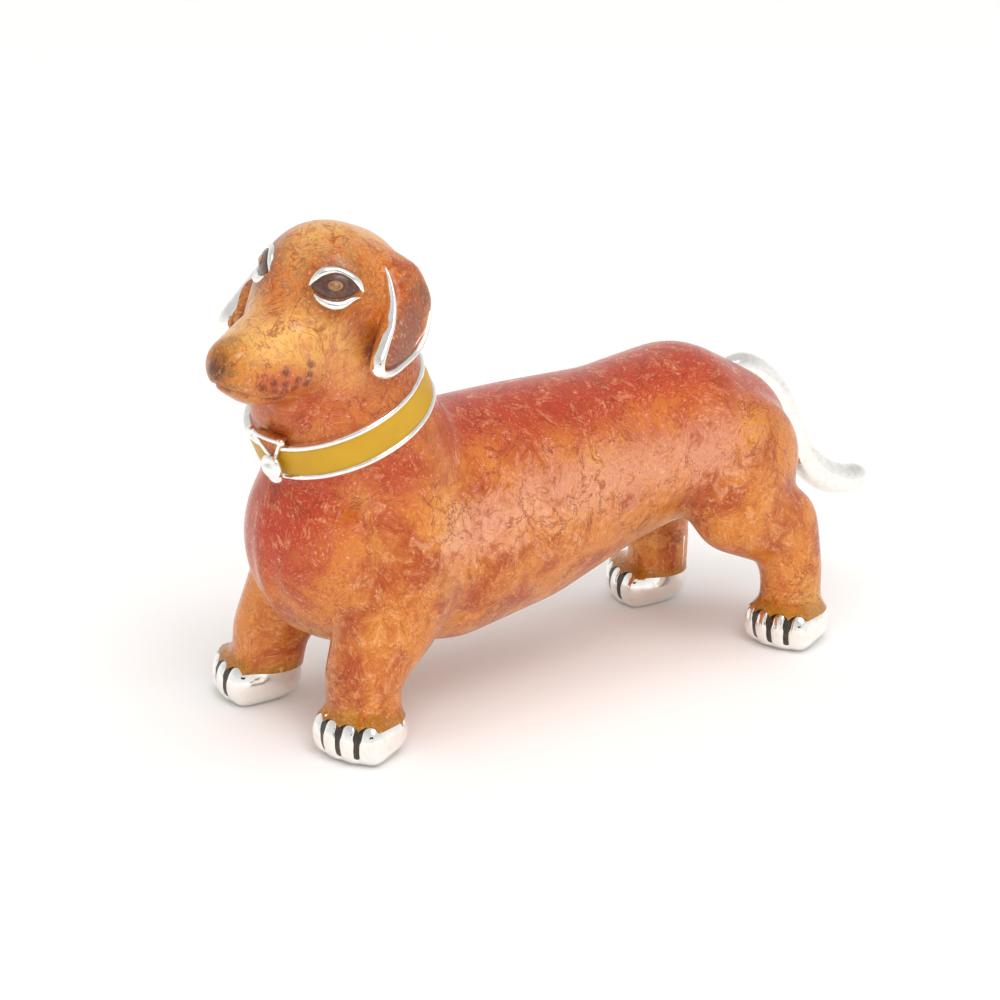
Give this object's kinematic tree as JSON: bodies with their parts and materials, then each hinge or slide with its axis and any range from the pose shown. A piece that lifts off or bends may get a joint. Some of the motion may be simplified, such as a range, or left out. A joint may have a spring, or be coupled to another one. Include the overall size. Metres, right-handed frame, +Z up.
{
  "type": "dog figurine",
  "caption": "Small enamelled silver dachshund, standing with its head turned: pearly orange enamel over a hollow casting, yellow collar, bare silver paws and tail.",
  "frame": {"origin": "on the ground, under the middle of the figurine's bounding box", "axes": "+Z up from the soles, -Y towards the head, +X towards the dog's left"},
  "size_m": [0.024, 0.0716, 0.0445],
  "materials": {
    "silver": "polished cast silver, mirror bright with a soft casting texture",
    "orange_enamel": "glossy translucent fired enamel, orange-red pearl with golden patches",
    "ear_enamel": "glossy translucent fired enamel, brown with a mauve cast",
    "eye_enamel": "glossy dark brown fired enamel",
    "pupil_enamel": "glossy tan fired enamel with a dark centre",
    "nose_enamel": "glossy brown fired enamel with a golden shine",
    "yellow_enamel": "smooth opaque yellow fired enamel",
    "black_enamel": "black fired enamel sunk in the lines between the toes"
  },
  "bodies": {
    "root": {"body_half_left": "silver", "body_half_right": "silver", "head_casting": "silver", "body_enamel": "orange_enamel", "head_enamel": "orange_enamel", "tail": "silver", "left_ear": "silver", "right_ear": "silver", "left_ear_enamel": "ear_enamel", "right_ear_enamel": "ear_enamel", "left_eyelids": "silver", "right_eyelids": "silver", "left_eye": "eye_enamel", "right_eye": "eye_enamel", "left_pupil": "pupil_enamel", "right_pupil": "pupil_enamel", "nose": "nose_enamel", "collar": "silver", "collar_enamel": "yellow_enamel", "collar_ring": "silver", "collar_ring_enamel": "orange_enamel", "collar_tag": "silver", "front_left_paw": "silver", "front_right_paw": "silver", "rear_left_paw": "silver", "rear_right_paw": "silver", "front_left_toe_lines": "black_enamel", "front_right_toe_lines": "black_enamel", "rear_left_toe_lines": "black_enamel", "rear_right_toe_lines": "black_enamel"}
  },
  "joints": []
}
